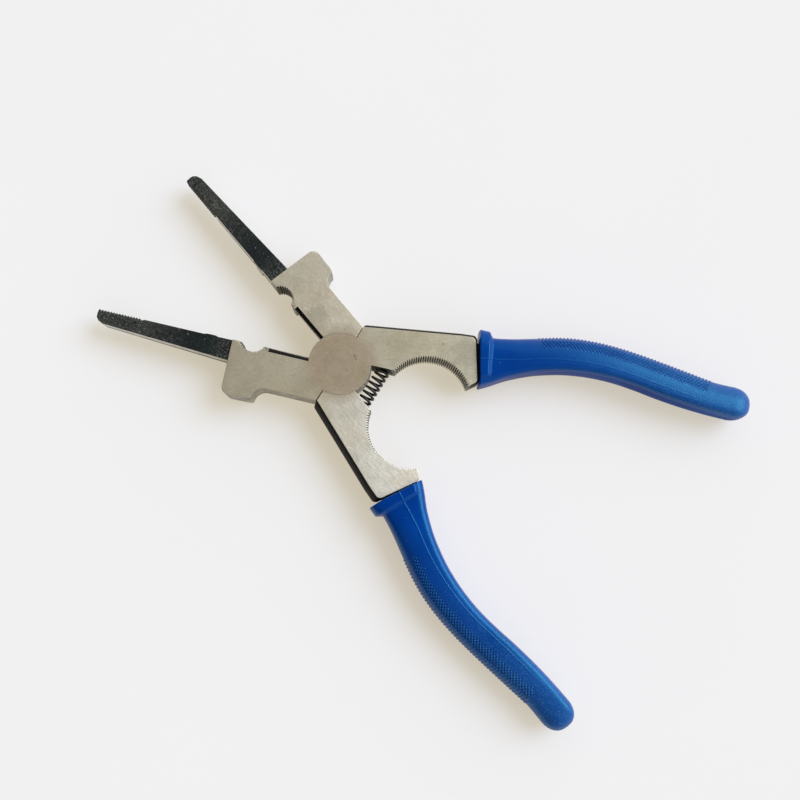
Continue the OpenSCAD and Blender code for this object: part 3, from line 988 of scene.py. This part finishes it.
def grip_plastic(name):
    """Blue plastic, glossy by the collar, satin and lighter towards its end: partly wear, partly a
    painted highlight.
    """
    n = Nodes(name)
    toward_end = n.span(n.distance(PIVOT), 0.052, 0.112)
    cloud = n.noise(55, 3)
    new = n.mix(n.span(cloud, 0.35, 0.65), (0.0, 0.030, 0.240), (0.0, 0.042, 0.280))
    # the lighter blue towards the end is partly wear and partly a painted highlight
    worn = n.mix(n.span(cloud, 0.35, 0.65), (0.002, 0.046, 0.260), (0.008, 0.066, 0.310))
    colour = n.mix(toward_end, new, worn)
    # light specks all over, partly painted glints of the grain
    colour = n.mix(n.span(n.noise(1500, 1), 0.775, 0.80), colour, (0.06, 0.19, 0.50))
    pebbles = n.noise(2100, 2)
    # more light specks towards the end, partly scuffs and partly painted glints of the grain
    scuffs_and_glints = n.math("MULTIPLY", n.span(pebbles, 0.54, 0.68), n.span(toward_end, 0.2, 1, 0, 0.8))
    colour = n.mix(scuffs_and_glints, colour, (0.045, 0.13, 0.40))
    grain = n.math("MULTIPLY", pebbles, n.span(toward_end, 0, 1, 0.5, 2.4))
    normal = n.bump(grain, 0.7, 0.05, n.bump(n.noise(160, 2), 0.1, 0.15))
    # the walls are dull, and keep the floor's reflection down
    upright = n.span(n.math("ABSOLUTE", n.axis("Z", n.facing), 0), 0.07, 0.45, 0.02, 1)
    gloss = n.math("MULTIPLY", upright, n.span(toward_end, 0, 1, 0.40, 0.60))
    n.feed(n.shader.inputs["Specular IOR Level"], gloss)
    n.shader.inputs["Specular Tint"].default_value = (0.17, 0.86, 1.0, 1)
    rough = n.span(toward_end, 0, 1, 0.19, 0.36)
    return n.set(Base_Color=colour, Roughness=rough, Normal=normal)


def floor_paper(name):
    """Paper lit a little from below, so that its shadows stay light and warm."""
    n = Nodes(name)
    cloud = n.noise(9, 3)
    colour = n.mix(n.span(cloud, 0.3, 0.7), (0.37, 0.425, 0.57), (0.36, 0.415, 0.56))
    n.shader.inputs["Emission Color"].default_value = (0.50, 0.44, 0.31, 1)
    n.shader.inputs["Emission Strength"].default_value = 1.0
    n.shader.inputs["Specular IOR Level"].default_value = 0.1
    return n.set(Base_Color=colour, Roughness=0.8, Normal=n.bump(n.noise(900, 2), 0.03, 0.05))


# ---- the object ----

scale_black = forging_scale("forging_scale")
# edge_black also paints the shade in the notch's flanks and roots
edge_black = forging_edge("forging_edge")
side_steel = steel_wall("ground_wall", (0.40, 0.37, 0.31), (0.25, 0.23, 0.19),
                        (0.15, 0.135, 0.11))
# tooth_shade: darker steel for the teeth, a painted shade in the arc's flanks and roots, and the
# notch's crests
tooth_dark = steel_wall("tooth_shade", (0.115, 0.10, 0.07), (0.065, 0.055, 0.04),
                        (0.03, 0.025, 0.018))
cut_black = cutter_black("cutter_black")
nose_side = nose_wall("nose_wall")
# the ground faces' tones, a darker spot, the way the scratches run and how strong they are
GROUND_LOOKS = {
    "front": {"jaw_tone": (0.47, 0.43, 0.33), "shank_tone": (0.55, 0.52, 0.42),
              "dark_spot": (-0.0314, -0.0235, 0.010), "turn": 22, "brushed": 0.08},
    "back": {"jaw_tone": (0.545, 0.505, 0.415), "shank_tone": (0.86, 0.84, 0.77),
             "dark_spot": (0.0138, -0.0076, 0.010), "turn": -24, "brushed": 0.17},
}
blue = grip_plastic("grip_blue")

for side, face in (("front", 1), ("back", -1)):
    half = forging(side + "_forging", face)
    steel = ground_steel("ground_steel_" + side, **GROUND_LOOKS[side])
    paint_forging(half, [steel, scale_black, side_steel, cut_black, tooth_dark, nose_side,
                         edge_black])
    soften(half)
    in_metres(half, HALVES[side])
    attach(half, side + "_half")
    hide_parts(side + "_half")

    handle = grip(side + "_grip_moulding")
    handle.data.materials.append(blue)
    in_metres(handle, HALVES[side])
    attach(handle, side + "_half")
    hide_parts(side + "_grip")

rivet = lathe("flush_rivet", rivet_profile(0, 0))
rivet.data.materials.append(rivet_steel("rivet_steel"))
soften(rivet)
in_metres(rivet, LIFT)
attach(rivet, "back_half")
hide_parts("pivot_rivet")

coil = spring("coil_spring")
coil.data.materials.append(spring_steel("spring_black"))
for polygon in coil.data.polygons:
    polygon.use_smooth = True
in_metres(coil, LIFT)
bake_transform(coil)
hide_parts("return_spring")

# ---- stage, light and camera ----

floor_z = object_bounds()[0].z
FLOOR = 2  # half its width
corners = [(x * FLOOR, y * FLOOR, floor_z) for x, y in ((-1, -1), (1, -1), (1, 1), (-1, 1))]
floor = mesh_piece("floor", corners, [(0, 1, 2, 3)])
floor.data.materials.append(floor_paper("floor_paper"))

# the camera's own axes, one in each column, and where it stands
CAMERA_TILT = Matrix(((-0.8507, 0.5221, -0.0610),
                      (-0.5253, -0.8403, 0.1338),
                      (0.0186, 0.1459, 0.9891)))
CAMERA_PLACE = (-0.0410, 0.0414, 0.3176)
camera_data = bpy.data.cameras.new("camera")
camera_data.lens = 45
camera_data.sensor_width = 36
camera = bpy.data.objects.new("camera", camera_data)
camera.matrix_world = Matrix.Translation(CAMERA_PLACE) @ CAMERA_TILT.to_4x4()
bpy.context.scene.collection.objects.link(camera)
bpy.context.scene.camera = camera

# a broad, cool key from the upper right of the camera's view
key_data = bpy.data.lights.new("key", "SUN")
key_data.energy = 2.0
key_data.angle = math.radians(42)
key_data.color = (0.86, 0.93, 1.0)
key = bpy.data.objects.new("key", key_data)
toward_key = CAMERA_TILT @ Vector((0.88, 0.50, 0.85))
key.rotation_euler = toward_key.to_track_quat("Z", "Y").to_euler()
bpy.context.scene.collection.objects.link(key)


def room():
    """A warm room, dark overhead, and brighter on the key's side."""
    world = bpy.data.worlds.new("world")
    world.use_nodes = True
    nodes, links = world.node_tree.nodes, world.node_tree.links

    def spread(value, low, high, to_low, to_high):
        node = nodes.new("ShaderNodeMapRange")
        node.interpolation_type = "SMOOTHSTEP"
        links.new(value, node.inputs["Value"])
        limits = (("From Min", low), ("From Max", high), ("To Min", to_low), ("To Max", to_high))
        for socket, number in limits:
            node.inputs[socket].default_value = number
        return node.outputs["Result"]

    direction = nodes.new("ShaderNodeTexCoord").outputs["Generated"]
    split = nodes.new("ShaderNodeSeparateXYZ")
    links.new(direction, split.inputs[0])
    side = nodes.new("ShaderNodeVectorMath")
    side.operation = "DOT_PRODUCT"
    links.new(direction, side.inputs[0])
    side.inputs[1].default_value = toward_key.xy.normalized().to_3d()
    strength = nodes.new("ShaderNodeMath")
    strength.operation = "MULTIPLY"
    links.new(spread(split.outputs["Z"], 0.80, 0.96, 1.0, 0.32), strength.inputs[0])
    links.new(spread(side.outputs["Value"], -0.9, 0.9, 0.19, 1.37), strength.inputs[1])
    background = nodes["Background"]
    background.inputs["Color"].default_value = (1.0, 0.955, 0.88, 1)
    links.new(strength.outputs[0], background.inputs["Strength"])
    return world


bpy.context.scene.world = room()
bpy.context.scene.view_settings.view_transform = "Standard"
